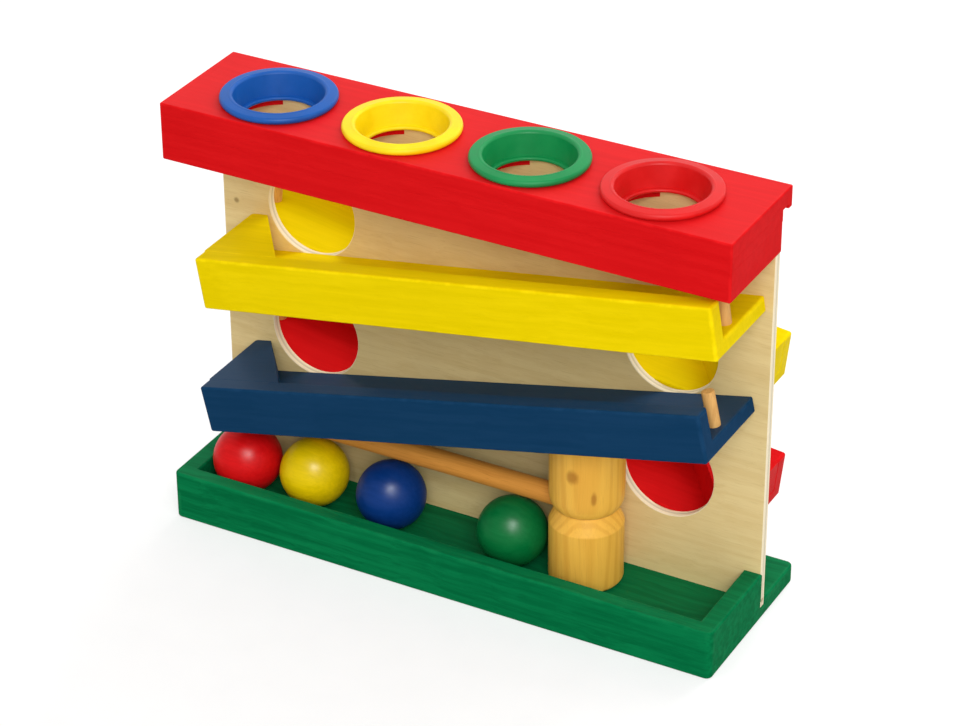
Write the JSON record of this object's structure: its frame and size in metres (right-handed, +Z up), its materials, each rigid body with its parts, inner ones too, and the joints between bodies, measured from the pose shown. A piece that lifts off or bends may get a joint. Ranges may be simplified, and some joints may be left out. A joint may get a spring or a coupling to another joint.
{
  "type": "ball pounding toy",
  "caption": "Wooden ball pounding toy: coloured balls are struck through rings in a red top and run down sloping tracks on both sides of a panel into a green tray, with a mallet",
  "frame": {"origin": "middle of the base board's flat underside", "axes": "+X along the toy towards the mallet's end of the tray, +Y from the tray at the front to the back, +Z up"},
  "size_m": [0.38, 0.146, 0.2975],
  "materials": {
    "green_paint": "semi-gloss green paint",
    "birch_ply": "clear matt lacquer",
    "yellow_paint": "semi-gloss yellow paint",
    "pale_dowel": "bare turned dowel",
    "navy_paint": "semi-gloss dark blue paint",
    "red_paint": "semi-gloss red paint",
    "zinc_steel": "zinc plated",
    "ring_blue": "moulded satin plastic",
    "ring_yellow": "moulded satin plastic",
    "ring_green": "moulded satin plastic",
    "ring_red": "moulded satin plastic",
    "ball_red": "gloss lacquer over a coloured coat",
    "ball_yellow": "gloss lacquer over a coloured coat",
    "ball_blue": "gloss lacquer over a coloured coat",
    "ball_green": "gloss lacquer over a coloured coat",
    "amber_wood": "clear satin lacquer"
  },
  "bodies": {
    "stand": {"base_board": "green_paint", "tray_front_rail": "green_paint", "tray_left_rail": "green_paint", "tray_right_rail": "green_paint", "panel": "birch_ply", "front_yellow_floor": "yellow_paint", "front_yellow_wall": "yellow_paint", "front_yellow_deflector": "yellow_paint", "front_yellow_stop_peg": "pale_dowel", "front_yellow_low_dowel": "pale_dowel", "front_yellow_high_dowel": "pale_dowel", "front_blue_floor": "navy_paint", "front_blue_wall": "navy_paint", "front_blue_deflector": "navy_paint", "front_blue_stop_peg": "pale_dowel", "front_blue_low_dowel": "pale_dowel", "front_blue_high_dowel": "pale_dowel", "rear_yellow_floor": "yellow_paint", "rear_yellow_wall": "yellow_paint", "rear_yellow_deflector": "yellow_paint", "rear_yellow_stop_peg": "pale_dowel", "rear_yellow_low_dowel": "pale_dowel", "rear_yellow_high_dowel": "pale_dowel", "rear_red_floor": "red_paint", "rear_red_wall": "red_paint", "rear_red_deflector": "red_paint", "rear_red_stop_peg": "pale_dowel", "rear_red_low_dowel": "pale_dowel", "rear_red_high_dowel": "pale_dowel", "top_board": "red_paint", "top_back_strip": "red_paint", "top_back_lip": "red_paint", "top_front_rail": "red_paint", "top_left_end": "red_paint", "top_right_end": "red_paint", "top_left_front_dowel": "pale_dowel", "top_left_end_dowel": "pale_dowel", "left_rail_screw": "zinc_steel", "top_right_front_dowel": "pale_dowel", "top_right_end_dowel": "pale_dowel", "right_rail_screw": "zinc_steel", "front_rail_screw_1": "zinc_steel", "front_rail_screw_2": "zinc_steel", "front_rail_screw_3": "zinc_steel", "ring_blue": "ring_blue", "ring_yellow": "ring_yellow", "ring_green": "ring_green", "ring_red": "ring_red"},
    "ball_red": {"ball_red": "ball_red"},
    "ball_yellow": {"ball_yellow": "ball_yellow"},
    "ball_blue": {"ball_blue": "ball_blue"},
    "ball_green": {"ball_green": "ball_green"},
    "mallet": {"mallet_head": "amber_wood", "mallet_handle": "pale_dowel"}
  },
  "joints": [
    {"name": "ball_red_roll", "type": "slide", "parent": "stand", "child": "ball_red", "axis": [0, 1, 0], "range_m": [0, 0.0155]},
    {"name": "ball_yellow_roll", "type": "slide", "parent": "stand", "child": "ball_yellow", "axis": [1, 0, 0], "range_m": [-0.001, 0.005]},
    {"name": "ball_blue_roll", "type": "slide", "parent": "stand", "child": "ball_blue", "axis": [1, 0, 0], "range_m": [-0.005, 0.02]},
    {"name": "ball_green_roll", "type": "slide", "parent": "stand", "child": "ball_green", "axis": [1, 0, 0], "range_m": [-0.02, 0.0005]},
    {"name": "mallet_move", "type": "slide", "parent": "stand", "child": "mallet", "axis": [1, 0, 0], "range_m": [0, 0.0715]}
  ]
}
